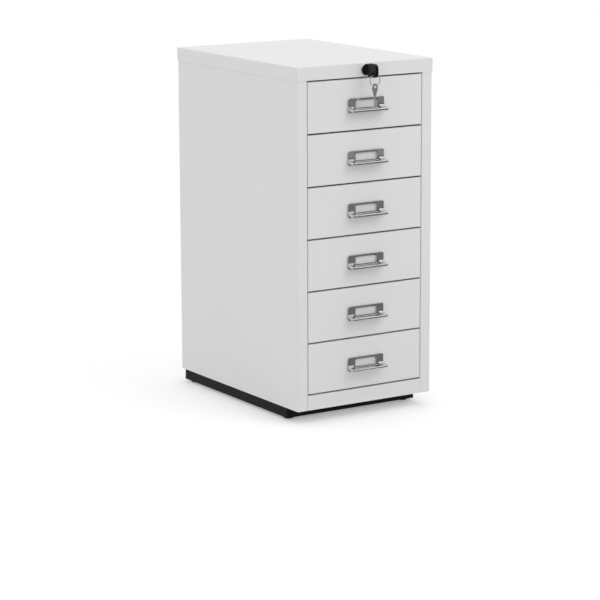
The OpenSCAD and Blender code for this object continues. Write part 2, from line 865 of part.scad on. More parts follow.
// Straps on the back panel that guide the lock bar
module bar_guides() {
  guide_h = 12;
  guide_up = 66;
  guide_bend = guide_t + 0.6;
  over = bar_w + 2 * (run_gap + guide_t);
  depth = panel_y - bar_y + run_gap + guide_t;
  color(zinc) for (i = guide_rows)
    translate([bar_x - over / 2 - flange + guide_t, panel_y, front_z(i) + guide_up])
      linear_extrude(guide_h)
        mirror([0, 1]) fold([
          [flange - guide_bend, 90], [depth - 2 * guide_bend, -90],
          [over - 2 * guide_bend, -90], [depth - 2 * guide_bend, 90],
          [flange - guide_bend, 0]
        ], guide_t, guide_bend - guide_t);
}

left_side_panel();
right_side_panel();
back_panel();
back_rivets();
top_cap();
head_rail();
base_rail();
floor_pan();
plinth_frame();
slide_uprights();
left_outer_rails();
right_outer_rails();
lock_housing();
lock_nut();
rod_bracket();
bar_guides();
lock_plug();
plug_face();
key_blade();
key_head();
lock_rod();
lock_crank();
lock_bar();
lock_tabs();
key_ring();
spare_key();
foot(-1, 0);  // foot_front_left
foot(1, 0);  // foot_front_right
foot(-1, 1);  // foot_back_left
foot(1, 1);  // foot_back_right
drawer_front(1);  // drawer_1_front
tray(1);  // drawer_1_tray
pull(1);  // drawer_1_pull
inner_rails(1);  // drawer_1_rails
ball_cages(1);  // drawer_1_cages
drawer_front(2);  // drawer_2_front
tray(2);  // drawer_2_tray
pull(2);  // drawer_2_pull
inner_rails(2);  // drawer_2_rails
ball_cages(2);  // drawer_2_cages
drawer_front(3);  // drawer_3_front
tray(3);  // drawer_3_tray
pull(3);  // drawer_3_pull
inner_rails(3);  // drawer_3_rails
ball_cages(3);  // drawer_3_cages
drawer_front(4);  // drawer_4_front
tray(4);  // drawer_4_tray
pull(4);  // drawer_4_pull
inner_rails(4);  // drawer_4_rails
ball_cages(4);  // drawer_4_cages
drawer_front(5);  // drawer_5_front
tray(5);  // drawer_5_tray
pull(5);  // drawer_5_pull
inner_rails(5);  // drawer_5_rails
ball_cages(5);  // drawer_5_cages
drawer_front(6);  // drawer_6_front
tray(6);  // drawer_6_tray
pull(6);  // drawer_6_pull
inner_rails(6);  // drawer_6_rails
ball_cages(6);  // drawer_6_cages
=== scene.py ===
"""Looks of a small steel drawer cabinet: white powder-coated body and drawers, cast
chrome pulls, a lock with its keys in the cap, a black plinth and levelling feet."""
import math

import bmesh
import bpy
import numpy as np
from mathutils import Matrix, Vector


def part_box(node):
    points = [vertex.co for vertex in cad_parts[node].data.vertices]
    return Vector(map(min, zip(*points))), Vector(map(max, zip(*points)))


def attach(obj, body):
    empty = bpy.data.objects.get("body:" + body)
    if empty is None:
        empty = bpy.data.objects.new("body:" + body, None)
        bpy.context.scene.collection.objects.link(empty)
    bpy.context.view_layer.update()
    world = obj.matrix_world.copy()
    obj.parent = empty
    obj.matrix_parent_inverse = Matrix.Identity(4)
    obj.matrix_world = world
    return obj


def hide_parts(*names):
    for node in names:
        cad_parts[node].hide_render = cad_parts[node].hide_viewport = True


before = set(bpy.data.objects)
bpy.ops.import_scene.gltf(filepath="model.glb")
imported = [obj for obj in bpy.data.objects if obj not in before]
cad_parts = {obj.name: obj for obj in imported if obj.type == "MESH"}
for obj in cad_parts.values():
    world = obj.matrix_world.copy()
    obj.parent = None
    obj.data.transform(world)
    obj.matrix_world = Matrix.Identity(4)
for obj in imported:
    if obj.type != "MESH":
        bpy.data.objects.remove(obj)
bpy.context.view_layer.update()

# ---- Levelling feet ----
# A foot is a moulded polyamide glide on a threaded steel stud. It screws into the plates
# in the plinth's corners, and the glide's rim has a chamfer so that it slides on carpet.

MM = 0.001
# A Mix node's colour sockets go by number, because several of its sockets share a name
MIX_FACTOR, COLOUR_A, COLOUR_B, COLOUR_RESULT = 0, 6, 7, 2


def linear(colour):
    """Turns an sRGB hex colour into the linear colour that shaders read."""
    part = np.array([int(colour[k:k + 2], 16) for k in (1, 3, 5)]) / 255
    part = np.where(part <= 0.04045, part / 12.92, ((part + 0.055) / 1.055) ** 2.4)
    return (*part.tolist(), 1.0)


def add(tree, kind, sockets={}, **settings):
    """Adds a node, sets its properties, and sets or links its sockets."""
    made = tree.nodes.new(kind)
    for name, value in settings.items():
        setattr(made, name, value)
    for key, value in sockets.items():
        if isinstance(value, bpy.types.NodeSocket):
            tree.links.new(value, made.inputs[key])
        else:
            made.inputs[key].default_value = value
    return made


def new_material(name):
    """A material with its node tree, its shader, and the object's own coordinates."""
    material = bpy.data.materials.new(name)
    material.use_nodes = True
    tree = material.node_tree
    place = add(tree, "ShaderNodeTexCoord").outputs["Object"]
    return material, tree, tree.nodes["Principled BSDF"], place


def finish_piece(name, points, faces, material, sharp=40):
    """An object from points in millimetres: doubles merged, faces outward, edges sharper
    than the angle in degrees kept sharp."""
    mesh = bpy.data.meshes.new(name)
    mesh.from_pydata((np.asarray(points) * MM).reshape(-1, 3).tolist(), [], faces)
    work = bmesh.new()
    work.from_mesh(mesh)
    bmesh.ops.remove_doubles(work, verts=work.verts, dist=1e-6)
    bmesh.ops.recalc_face_normals(work, faces=work.faces)
    work.to_mesh(mesh)
    work.free()
    mesh.shade_smooth()
    mesh.set_sharp_from_angle(angle=math.radians(sharp))
    mesh.materials.append(material)
    made = bpy.data.objects.new(name, mesh)
    bpy.context.collection.objects.link(made)
    return made


def ring_faces(rows, columns, first=0):
    """Quads between neighbouring rows of points, where each row closes on itself. The
    first point has the number first."""
    i = np.arange(rows - 1)[:, None] * columns
    j = np.arange(columns)[None, :]
    k = (j + 1) % columns
    quads = np.stack([i + j, i + k, i + columns + k, i + columns + j], axis=-1)
    return (quads.reshape(-1, 4) + first).tolist()


def straight(radius, heights):
    """Profile points at one radius, close enough together for a thread."""
    return np.stack([np.full_like(heights, radius), heights], axis=-1)


def turned(profile, turns=48, pitch=None, depth=0.0, thread=(0, 0)):
    """A profile of (radius, height) carried round the Z axis. Between the two thread
    heights the radius also falls by depth times a triangle wave of height over pitch
    less the turn, which cuts a screw thread."""
    radius, height = np.array(profile, float).T
    angle = np.linspace(0, 2 * np.pi, turns, endpoint=False)
    r = np.repeat(radius[:, None], turns, axis=1)
    z = np.repeat(height[:, None], turns, axis=1)
    if pitch:
        phase = (z / pitch - angle / (2 * np.pi)) % 1
        inside = (z > thread[0]) & (z < thread[1])
        r = r - inside * depth * np.abs(2 * phase - 1)
    return np.stack([r * np.cos(angle), r * np.sin(angle), z], axis=-1)


def glide_plastic():
    # Polyamide glide, moulded: nearly black, dull, with a fine spark-eroded grain.
    material, tree, shader, place = new_material("moulded_black_polyamide")
    grain = add(tree, "ShaderNodeTexNoise",
                {"Vector": place, "Scale": 1 / (0.5 * MM), "Detail": 2.0})
    tone = add(tree, "ShaderNodeMix",
               {MIX_FACTOR: grain.outputs["Fac"], COLOUR_A: linear("#101211"),
                COLOUR_B: linear("#191b1a")}, data_type="RGBA")
    bump = add(tree, "ShaderNodeBump",
               {"Height": grain.outputs["Fac"], "Strength": 0.35, "Distance": 0.06 * MM})
    tree.links.new(tone.outputs[COLOUR_RESULT], shader.inputs["Base Color"])
    tree.links.new(bump.outputs["Normal"], shader.inputs["Normal"])
    shader.inputs["Roughness"].default_value = 0.52
    shader.inputs["Specular IOR Level"].default_value = 0.35
    shader.inputs["IOR"].default_value = 1.53
    return material


black_polyamide = glide_plastic()
foot_top = 4.5
stud_r = 3.9
stud_pitch = 1.25
stud_thread = 0.62
for foot_name in ("front_left", "front_right", "back_left", "back_right"):
    low, high = (np.array(c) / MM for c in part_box("foot_" + foot_name))
    foot_r = (high[0] - low[0]) / 2
    stud_end = high[2]
    # From the hollow under the glide, round its rim and up the stud
    foot_profile = np.vstack([
        [(0, 0.5), (foot_r - 4, 0.5), (foot_r - 3.2, 0), (foot_r - 1.1, 0),
         (foot_r - 0.3, 0.4), (foot_r, 1.1), (foot_r, 3.0), (foot_r - 0.3, 3.6),
         (foot_r - 1.0, 3.9), (stud_r + 2.2, foot_top - 0.1), (stud_r + 1.6, foot_top),
         (stud_r, foot_top + 0.1)],
        straight(stud_r, np.arange(foot_top + 0.6, stud_end - 0.9, stud_pitch / 8)),
        [(stud_r - 0.8, stud_end - 0.05), (0, stud_end)]])
    shape = turned(foot_profile, pitch=stud_pitch, depth=stud_thread,
                   thread=(foot_top + 0.3, stud_end - 0.8))
    shape += [(low[0] + high[0]) / 2, (low[1] + high[1]) / 2, 0]
    glide = finish_piece("glide_" + foot_name, shape, ring_faces(*shape.shape[:2]),
                         black_polyamide)
    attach(glide, "foot_" + foot_name)
    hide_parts("foot_" + foot_name)

# ---- Plinth ----
# A rectangular frame bent from 1.2 mm steel and welded under the floor. It is set back
# under the drawers and powder coated black, so it disappears in the shadow.


def dress(material, *nodes):
    """Gives CAD nodes a material."""
    for name in nodes:
        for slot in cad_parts[name].material_slots:
            slot.material = material


def powder_coat(name, dark, light, roughness, peel, shine):
    # Polyester powder baked on steel: an even satin colour with the low ripple called
    # orange peel. The ripple is drawn coarser and deeper than the real one, so that it
    # shows, and fine specks break up the gloss.
    material, tree, shader, place = new_material(name)
    cloud = add(tree, "ShaderNodeTexNoise",
                {"Vector": place, "Scale": 1 / (140 * MM), "Detail": 3.0})
    tone = add(tree, "ShaderNodeMix",
               {MIX_FACTOR: cloud.outputs["Fac"], COLOUR_A: linear(dark),
                COLOUR_B: linear(light)}, data_type="RGBA")
    ripple = add(tree, "ShaderNodeTexNoise",
                 {"Vector": place, "Scale": 1 / (3.2 * MM), "Detail": 1.5,
                  "Roughness": 0.45})
    speck = add(tree, "ShaderNodeTexNoise",
                {"Vector": place, "Scale": 1 / (0.9 * MM), "Detail": 1.0})
    spread = 0.04
    rough = add(tree, "ShaderNodeMapRange",
                {"Value": speck.outputs["Fac"], "From Min": 0.3, "From Max": 0.7,
                 "To Min": roughness - spread, "To Max": roughness + spread})
    bump = add(tree, "ShaderNodeBump",
               {"Height": ripple.outputs["Fac"], "Strength": peel, "Distance": 0.16 * MM})
    tree.links.new(tone.outputs[COLOUR_RESULT], shader.inputs["Base Color"])
    tree.links.new(rough.outputs["Result"], shader.inputs["Roughness"])
    tree.links.new(bump.outputs["Normal"], shader.inputs["Normal"])
    shader.inputs["Specular IOR Level"].default_value = shine
    shader.inputs["IOR"].default_value = 1.5
    return material


black_coat = powder_coat("black_powder_coated_steel", "#0c0f0e", "#111413",
                         roughness=0.58, peel=0.6, shine=0.15)
dress(black_coat, "plinth_frame")

# ---- Body ----
# Side panels, back, floor and rails are folded from 1 mm steel sheet, spot welded and
# powder coated white. The posts beside the drawers are folds of the side panels.

white_coat = powder_coat("white_powder_coated_steel", "#e3e4e4", "#e8e8e8",
                         roughness=0.34, peel=0.8, shine=0.5)
dress(white_coat, "left_side_panel", "right_side_panel", "back_panel", "floor_pan",
      "base_rail", "head_rail")

# ---- Back rivets ----
# Aluminium pop rivets hold the back to the side panels' flanges. A rivet has a low domed
# head with the end of its pulled mandrel in the middle.


def rivet_aluminium():
    # Drawn aluminium, tumbled: pale, softly shining, with fine scratches on the dome.
    material, tree, shader, place = new_material("tumbled_aluminium")
    scratch = add(tree, "ShaderNodeTexNoise",
                  {"Vector": place, "Scale": 1 / (0.7 * MM), "Detail": 4.0})
    rough = add(tree, "ShaderNodeMapRange",
                {"Value": scratch.outputs["Fac"], "To Min": 0.25, "To Max": 0.50})
    bump = add(tree, "ShaderNodeBump",
               {"Height": scratch.outputs["Fac"], "Strength": 0.2, "Distance": 0.03 * MM})
    tree.links.new(rough.outputs["Result"], shader.inputs["Roughness"])
    tree.links.new(bump.outputs["Normal"], shader.inputs["Normal"])
    shader.inputs["Base Color"].default_value = linear("#cdd0d2")
    shader.inputs["Metallic"].default_value = 1.0
    return material


rivet_low, rivet_high = (np.array(c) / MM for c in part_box("back_rivets"))
rivets_per_side = 7
shank_r = 1.6
head_r = 2 * shank_r
head_h = 0.9
grip_len = 2.0
mandrel_r = 1.0
dome = np.linspace(0, np.pi / 2, 7)
# From the swollen blind end, along the shank, over the dome and into the mandrel's hole
rivet_profile = np.vstack([
    [(0, grip_len + 0.9), (shank_r * 1.3, grip_len + 0.9), (shank_r * 1.5, grip_len + 0.6),
     (shank_r * 1.3, grip_len), (shank_r, grip_len), (shank_r, 0), (head_r - 0.2, 0),
     (head_r, 0.12)],
    np.stack([mandrel_r + (head_r - mandrel_r) * np.cos(dome),
              -0.1 - (head_h - 0.15) * np.sin(dome)], axis=-1),
    [(0.85, -0.45), (0.7, -0.4), (0, -0.4)]])
rivet_shape = turned(rivet_profile, turns=24)
across, up, along = np.moveaxis(rivet_shape, -1, 0)
rivet_x = rivet_high[0] - head_r
rivet_y = rivet_high[1] - head_h
rivet_points = []
rivet_faces = []
for rivet_side in (-1, 1):
    for z in np.linspace(rivet_low[2] + head_r, rivet_high[2] - head_r, rivets_per_side):
        rivet_faces += ring_faces(*rivet_shape.shape[:2], len(rivet_points) * across.size)
        rivet_points.append(np.stack([rivet_side * rivet_x + across, rivet_y - along,
                                      z + up], axis=-1))
rivets = finish_piece("pop_rivets", np.array(rivet_points), rivet_faces, rivet_aluminium())
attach(rivets, "cabinet")
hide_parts("back_rivets")

# ---- Cap ----
# A shallow lid of the same sheet, turned down on all four sides, sits over the body and
# carries the lock in its front edge.

dress(white_coat, "top_cap")

# ---- Uprights, slides and inner metalwork ----
# Hat channels along the walls carry the outer rails of the ball slides. Both are pressed
# from strip that was zinc plated before it was bent, and the lock's hidden parts have the
# same plating.


def zinc_plate():
    # Zinc-plated strip: metal grey with a faint blue and yellow bloom, and fine streaks
    # that run along the rolled strip, here from front to back.
    material, tree, shader, place = new_material("zinc_plated_steel_strip")
    strip = add(tree, "ShaderNodeMapping", {"Vector": place, "Scale": (1.0, 0.04, 1.0)})
    streak = add(tree, "ShaderNodeTexNoise",
                 {"Vector": strip.outputs["Vector"], "Scale": 1 / (0.8 * MM),
                  "Detail": 3.0})
    bloom = add(tree, "ShaderNodeTexNoise",
                {"Vector": place, "Scale": 1 / (35 * MM), "Detail": 2.0})
    tone = add(tree, "ShaderNodeMix",
               {MIX_FACTOR: bloom.outputs["Fac"], COLOUR_A: linear("#aab1b8"),
                COLOUR_B: linear("#bdbcb2")}, data_type="RGBA")
    rough = add(tree, "ShaderNodeMapRange",
                {"Value": streak.outputs["Fac"], "To Min": 0.26, "To Max": 0.46})
    bump = add(tree, "ShaderNodeBump",
               {"Height": streak.outputs["Fac"], "Strength": 0.18, "Distance": 0.03 * MM})
    tree.links.new(tone.outputs[COLOUR_RESULT], shader.inputs["Base Color"])
    tree.links.new(rough.outputs["Result"], shader.inputs["Roughness"])
    tree.links.new(bump.outputs["Normal"], shader.inputs["Normal"])
    shader.inputs["Metallic"].default_value = 1.0
    return material


zinc = zinc_plate()
dress(zinc, "slide_uprights", "left_outer_rails", "right_outer_rails", "rod_bracket",
      "bar_guides", "lock_nut", "lock_plug", "lock_rod", "lock_crank", "lock_bar",
      "lock_tabs")

# ---- Drawers ----
# Each drawer is a folded front spot welded to a tray, both coated like the body, with
# the inner rails of its slides riveted to the tray's sides.

DRAWERS = range(1, 7)
for n in DRAWERS:
    dress(white_coat, f"drawer_{n}_front", f"drawer_{n}_tray")
    dress(zinc, f"drawer_{n}_rails", f"drawer_{n}_cages")

# ---- Pulls ----
# A pull is one zinc die casting with bright chrome plating: a plate with a label window,
# two arms that sweep out of its ends, and a lip between them that ends in a round bar.
# Two pegs behind the plate go through the drawer front.


def chrome_plate():
    # Chrome plating on cast zinc: a mirror with a cool tint, slightly softened by the
    # polished casting under it, whose low waves bend the reflections.
    material, tree, shader, place = new_material("chrome_plated_cast_zinc")
    wave = add(tree, "ShaderNodeTexNoise",
               {"Vector": place, "Scale": 1 / (7 * MM), "Detail": 1.0})
    haze = add(tree, "ShaderNodeTexNoise",
               {"Vector": place, "Scale": 1 / (1.5 * MM), "Detail": 3.0})
    rough = add(tree, "ShaderNodeMapRange",
                {"Value": haze.outputs["Fac"], "To Min": 0.08, "To Max": 0.20})
    bump = add(tree, "ShaderNodeBump",
               {"Height": wave.outputs["Fac"], "Strength": 0.05, "Distance": 0.12 * MM})
    tree.links.new(rough.outputs["Result"], shader.inputs["Roughness"])
    tree.links.new(bump.outputs["Normal"], shader.inputs["Normal"])
    shader.inputs["Base Color"].default_value = linear("#dcdee0")
    shader.inputs["Metallic"].default_value = 1.0
    return material


def corner_drop(distance, radius):
    """How far a quarter circle has dropped at a distance past its start."""
    d = np.clip(distance, 0, radius)
    return radius - np.sqrt(radius ** 2 - d ** 2)


def arc(centre, radius, start, end, count):
    """Points on an arc, angles in degrees from the first axis."""
    a = np.radians(np.linspace(start, end, count))
    return np.stack([centre[0] + radius * np.cos(a), centre[1] + radius * np.sin(a)],
                    axis=-1)


def line(start, end, count):
    """Points along a line, without the last one."""
    t = np.linspace(0, 1, count, endpoint=False)[:, None]
    return np.array(start, float) * (1 - t) + np.array(end, float) * t


def skin(stations, rows, hole):
    """Quads round a tube of rings, flat faces on both ends, and a window through it: the
    hole gives its first and last station, the rows where its front and back edges
    start, and how many rows it spans."""
    i0, i1, front, back, band = hole
    grid = np.arange(stations * rows).reshape(stations, rows)
    keep = np.ones((stations - 1, rows), bool)
    keep[i0:i1, front:front + band] = False
    keep[i0:i1, back:back + band] = False
    i, j = np.nonzero(keep)
    k = (j + 1) % rows
    faces = [np.stack([grid[i, j], grid[i, k], grid[i + 1, k], grid[i + 1, j]], axis=-1)]
    s = np.arange(i0, i1)
    for f, b in ((front, back + band), (front + band, back)):
        faces.append(np.stack([grid[s, f], grid[s + 1, f], grid[s + 1, b], grid[s, b]],
                              axis=-1))
    f = np.arange(band)
    for i in (i0, i1):
        faces.append(np.stack([grid[i, front + f], grid[i, front + f + 1],
                               grid[i, back + band - f - 1], grid[i, back + band - f]],
                              axis=-1))
    return np.concatenate(faces).tolist() + [grid[0].tolist(), grid[-1].tolist()]


def pull_points(width, height, out):
    """The pull's side view, a closed outline of u out of the drawer and w up, carried
    along x. The outline is that of the lip between the arms and that of an arm at both
    ends, and changes over beside the grooves. Corners are drawn in by quarter circles,
    and rows of points bend round the window's corners."""
    half = width / 2
    plate = 2.6
    edge = 0.7
    back_edge = 0.15
    corner = 3.8
    lip_corner = 5.0
    bar_r = 2.3
    bar_low = 2.6
    bar = (out - bar_r, bar_low + bar_r)
    lip_top, lip_under = 6.6, 5.0
    fillet_r = 0.7
    arm_x = 26.0
    arm_top, arm_under = 9.4, 5.2
    sweep_r = 4.4
    change = 0.7
    window_x = 22.0
    window = (8.6, 21.4)
    window_r = 2.6
    groove_deep, groove_w = 0.75, 0.5
    rim_high, rim_w = 0.3, 0.6
    pocket_deep, pocket_x = 0.8, 24.2
    # Stations along x: close together where the shape changes
    quarter = np.sin(np.linspace(0, np.pi / 2, 10))
    right = np.concatenate([
        np.linspace(0, window_x - window_r, 9)[:-1],
        window_x - window_r + window_r * quarter[:-1],
        np.linspace(window_x, arm_x - 1.1, 7),
        np.linspace(arm_x - 0.9, arm_x + 1.1, 21),
        np.linspace(arm_x + 1.5, half - lip_corner, 5)[:-1],
        half - lip_corner + (lip_corner - corner) * np.linspace(0, 1, 4)[:-1],
        half - corner + (corner - edge) * np.linspace(0, 1, 9)[:-1],
        half - edge + edge * quarter])
    x = np.concatenate([-right[:0:-1], right])
    away = np.abs(x)[:, None]
    blend = np.clip((away - (arm_x - change / 2)) / change, 0, 1)
    blend = blend * blend * (3 - 2 * blend)
    # Side views: both have the same number of rows, and the bar's rows stay on its circle
    n_low, n_band, n_high, n_edge = 6, 10, 8, 6
    n_bend, n_top, n_bar, n_bottom, n_under = 10, 8, 28, 7, 5
    slope = math.atan2(arm_top - bar[1] - bar_r, bar[0] - plate)
    sweep = (plate + sweep_r, arm_top + sweep_r * (1 - math.sin(slope)) / math.cos(slope))
    slope = math.degrees(slope)
    sweep_end = sweep[1] + 0.9

    def outline(front_end, bend, bar_top, bar_bottom, under):
        """Up the back, over the top edge, down the front past the window to front_end,
        out along the bend to the bar, round the bar and back to the plate at under."""
        start = bar + bar_r * np.array([math.cos(bar_top), math.sin(bar_top)])
        end = bar + bar_r * np.array([math.cos(bar_bottom), math.sin(bar_bottom)])
        return np.concatenate([
            line((0, back_edge), (0, window[0]), n_low),
            line((0, window[0]), (0, window[1]), n_band),
            line((0, window[1]), (0, height - back_edge), n_high),
            arc((back_edge, height - back_edge), back_edge, 180, 90, n_edge),
            arc((plate - edge, height - edge), edge, 90, 0, n_edge),
            line((plate, height - edge), (plate, window[1]), n_high + 1)[1:],
            line((plate, window[1]), (plate, front_end), n_band),
            [(plate, front_end)], bend,
            line(bend[-1], start, n_top + 1)[1:],
            np.tile(start, (n_bar, 1)),
            line(end, (plate, under), n_bottom + 1)[1:],
            line((plate, under), (plate, edge), n_under),
            arc((plate - edge, edge), edge, 0, -90, n_edge),
            arc((back_edge, back_edge), back_edge, -90, -180, n_edge)[:-1]])

    lip_bar = np.radians([134, -184])
    arm_bar = np.radians([90 - slope, -105])
    lip_bend = arc((plate + fillet_r, lip_top + fillet_r), fillet_r, 180, 270, n_bend)
    arm_bend = arc(sweep, sweep_r, 180, 270 - slope, n_bend)
    lip = outline(window[0], lip_bend, *lip_bar, lip_under)
    arm = outline(sweep_end, arm_bend, *arm_bar, arm_under)
    u = lip[:, 0] * (1 - blend) + arm[:, 0] * blend
    w = lip[:, 1] * (1 - blend) + arm[:, 1] * blend
    row = np.arange(len(lip))
    back_end = n_low + n_band + n_high
    front_high = back_end + 2 * n_edge
    front_band = front_high + n_high
    bend_at = front_band + n_band
    bar_at = bend_at + 1 + n_bend + n_top
    low_front = bar_at + n_bar + n_bottom
    turn = lip_bar * (1 - blend) + arm_bar * blend
    turn = turn[:, :1] + (turn[:, 1:] - turn[:, :1]) * np.linspace(0, 1, n_bar)
    u[:, bar_at:bar_at + n_bar] = bar[0] + bar_r * np.cos(turn)
    w[:, bar_at:bar_at + n_bar] = bar[1] + bar_r * np.sin(turn)
    # Window corners: the rows beside the band bend towards its middle, most at the
    # corner, and run straight again 1.2 mm above or below it and 2 mm beside it
    drawn = np.where(away <= window_x,
                     corner_drop(away - (window_x - window_r), window_r),
                     window_r * np.clip(1 - (away - window_x) / 2, 0, 1))
    middle = (window[0] + window[1]) / 2
    reach = (window[1] - window[0]) / 2
    for first, size in ((0, back_end + 1), (front_high, bend_at - front_high + 1)):
        part = slice(first, first + size)
        off = w[:, part] - middle
        near = np.clip(1 - (np.abs(off) - reach) / 1.2, 0, 1)
        near = near * np.clip(np.abs(off) / reach, 0, 1)
        w[:, part] = w[:, part] - np.sign(off) * drawn * near * (1 - blend)
    # Corners of the plate in front view, which draw in its highest 7 mm and its lowest
    # 5 mm, and of the lip seen from above
    high_zone, low_zone = 7, 5
    drop = corner_drop(away - (half - corner), corner)
    plate_row = (row < bend_at) | (row >= low_front)
    w = w - plate_row * drop * np.clip((w - height + high_zone) / high_zone, 0, 1)
    w = w + plate_row * drop * np.clip((low_zone - w) / low_zone, 0, 1)
    most = out - corner_drop(away - (half - lip_corner), lip_corner)
    u = np.where(u > plate, plate + (u - plate) * (most - plate) / (out - plate), u)
    # Grooves beside the lobes, the raised rim of the window, and the label's pocket
    front = (row >= front_high) & (row <= bend_at)
    u = u - front * groove_deep * np.exp(-((away - arm_x) / groove_w) ** 2)
    dx = np.maximum(away - window_x + window_r, 0)
    dw = np.maximum(np.abs(w - middle) - reach + window_r, 0)
    rim = np.hypot(dx, dw) - window_r
    u = u + front * rim_high * np.exp(-((rim - rim_w) / rim_w) ** 2)
    pocket = np.clip((pocket_x - away) / 0.4, 0, 1)
    behind = (row > n_low - 2) & (row < back_end + n_edge)
    u = np.where(behind, u + pocket * pocket_deep * (1 - u / plate), u)
    # Round the ends: rings shrink along their own normals, but stay flat on the drawer
    inset = corner_drop(away - (half - edge), edge)
    tu = np.roll(u, -1, axis=1) - np.roll(u, 1, axis=1)
    tw = np.roll(w, -1, axis=1) - np.roll(w, 1, axis=1)
    length = np.hypot(tu, tw) + 1e-9
    u = u + inset * tw / length * (u > back_edge)
    w = w - inset * tu / length
    i0 = int(np.argmin(np.abs(x + window_x)))
    i1 = int(np.argmin(np.abs(x - window_x)))
    points = np.stack([np.broadcast_to(x[:, None], u.shape), -u, w], axis=-1)
    return points, (i0, i1, front_band, n_low, n_band)


chrome = chrome_plate()
peg_x, peg_z = 29.5, 16.75
peg_root = 2
peg_profile = [(0, 0), (2.5, 0), (2.5, 3.0), (3.3, 3.1), (3.3, 3.9), (2.9, 4.4), (0, 4.5)]
peg = turned(peg_profile, turns=24)
for n in DRAWERS:
    low, high = (np.array(c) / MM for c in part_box(f"drawer_{n}_pull"))
    front_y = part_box(f"drawer_{n}_front")[0][1] / MM
    shape, window_hole = pull_points(high[0] - low[0], high[2] - low[2], front_y - low[1])
    casting = shape + [0, front_y, low[2]]
    quads = skin(*shape.shape[:2], window_hole)
    points = [casting.reshape(-1, 3)]
    # The pegs start inside the plate and go back through the drawer's front
    for side in (-1, 1):
        quads += ring_faces(*peg.shape[:2], sum(len(p) for p in points))
        points.append(np.stack([side * peg_x + peg[..., 0],
                                front_y - peg_root + peg[..., 2],
                                low[2] + peg_z + peg[..., 1]], axis=-1).reshape(-1, 3))
    pull = finish_piece(f"pull_{n}", np.concatenate(points), quads, chrome, sharp=50)
    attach(pull, f"drawer_{n}")
    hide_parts(f"drawer_{n}_pull")

# ---- Lock ----
# A cam lock: a turned brass barrel with a chrome bezel goes through the cap and the head
# rail, and a hexagon nut clamps it. A black face in the bezel turns with the plug.


def satin_chrome():
    # Chrome plating on turned brass, satin: a pale ring that takes the light evenly,
    # with a fine grain in its gloss.
    material, tree, shader, place = new_material("satin_chrome_plated_brass")
    grain = add(tree, "ShaderNodeTexNoise",
                {"Vector": place, "Scale": 1 / (0.5 * MM), "Detail": 2.0})
    rough = add(tree, "ShaderNodeMapRange",
                {"Value": grain.outputs["Fac"], "To Min": 0.32, "To Max": 0.48})
    tree.links.new(rough.outputs["Result"], shader.inputs["Roughness"])
    shader.inputs["Base Color"].default_value = linear("#eeeeec")
    shader.inputs["Metallic"].default_value = 1.0
    return material


lock_low, lock_high = (np.array(c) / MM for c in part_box("lock_housing"))
lock_r = (lock_high[0] - lock_low[0]) / 2
lock_z = (lock_high[2] + lock_low[2]) / 2
lock_len = lock_high[1] - lock_low[1]
barrel_r = 8.0
bore_r = 6.0
face_r = 9.1
face_y = 1.2
flange = 2.4
barrel_pitch = 1.0
barrel_thread = 0.5
# From the bore over the bezel's bead to the flange, back along the barrel and home
lock_profile = np.vstack([
    [(bore_r, face_y), (face_r, face_y), (face_r, 0.5), (face_r + 0.25, 0.15),
     (face_r + 0.6, 0.0), (lock_r - 0.7, 0.1), (lock_r - 0.25, 0.45), (lock_r, 1.1),
     (lock_r, flange - 0.3), (lock_r - 0.2, flange), (barrel_r, flange)],
    straight(barrel_r, np.arange(flange + 0.4, lock_len - 1, barrel_pitch / 8)),
    [(barrel_r - 0.6, lock_len), (bore_r, lock_len), (bore_r, face_y)]])
lock_shape = turned(lock_profile, turns=64, pitch=barrel_pitch, depth=barrel_thread,
                    thread=(3.5, lock_len - 0.9))
lock_points = np.stack([lock_shape[..., 0], lock_low[1] + lock_shape[..., 2],
                        lock_z + lock_shape[..., 1]], axis=-1)
bezel = finish_piece("lock_bezel", lock_points, ring_faces(*lock_shape.shape[:2]),
                     satin_chrome())
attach(bezel, "cabinet")
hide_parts("lock_housing")
dress(black_polyamide, "plug_face")

# ---- Keys ----
# The key in the lock has a thick moulded head over a nickel-plated blade. A split ring
# of flat wire through its head carries the spare key, stamped from nickel-plated steel.


def key_plastic():
    # ABS head, moulded: deep black with a soft sheen from handling and a fine grain.
    material, tree, shader, place = new_material("moulded_black_abs")
    grain = add(tree, "ShaderNodeTexNoise",
                {"Vector": place, "Scale": 1 / (0.6 * MM), "Detail": 2.0})
    wear = add(tree, "ShaderNodeTexNoise",
               {"Vector": place, "Scale": 1 / (9 * MM), "Detail": 2.0})
    rough = add(tree, "ShaderNodeMapRange",
                {"Value": wear.outputs["Fac"], "From Min": 0.3, "From Max": 0.7,
                 "To Min": 0.30, "To Max": 0.46})
    bump = add(tree, "ShaderNodeBump",
               {"Height": grain.outputs["Fac"], "Strength": 0.3, "Distance": 0.05 * MM})
    tree.links.new(rough.outputs["Result"], shader.inputs["Roughness"])
    tree.links.new(bump.outputs["Normal"], shader.inputs["Normal"])
    shader.inputs["Base Color"].default_value = linear("#0a0b0b")
    shader.inputs["Specular IOR Level"].default_value = 0.25
    shader.inputs["IOR"].default_value = 1.54
    return material


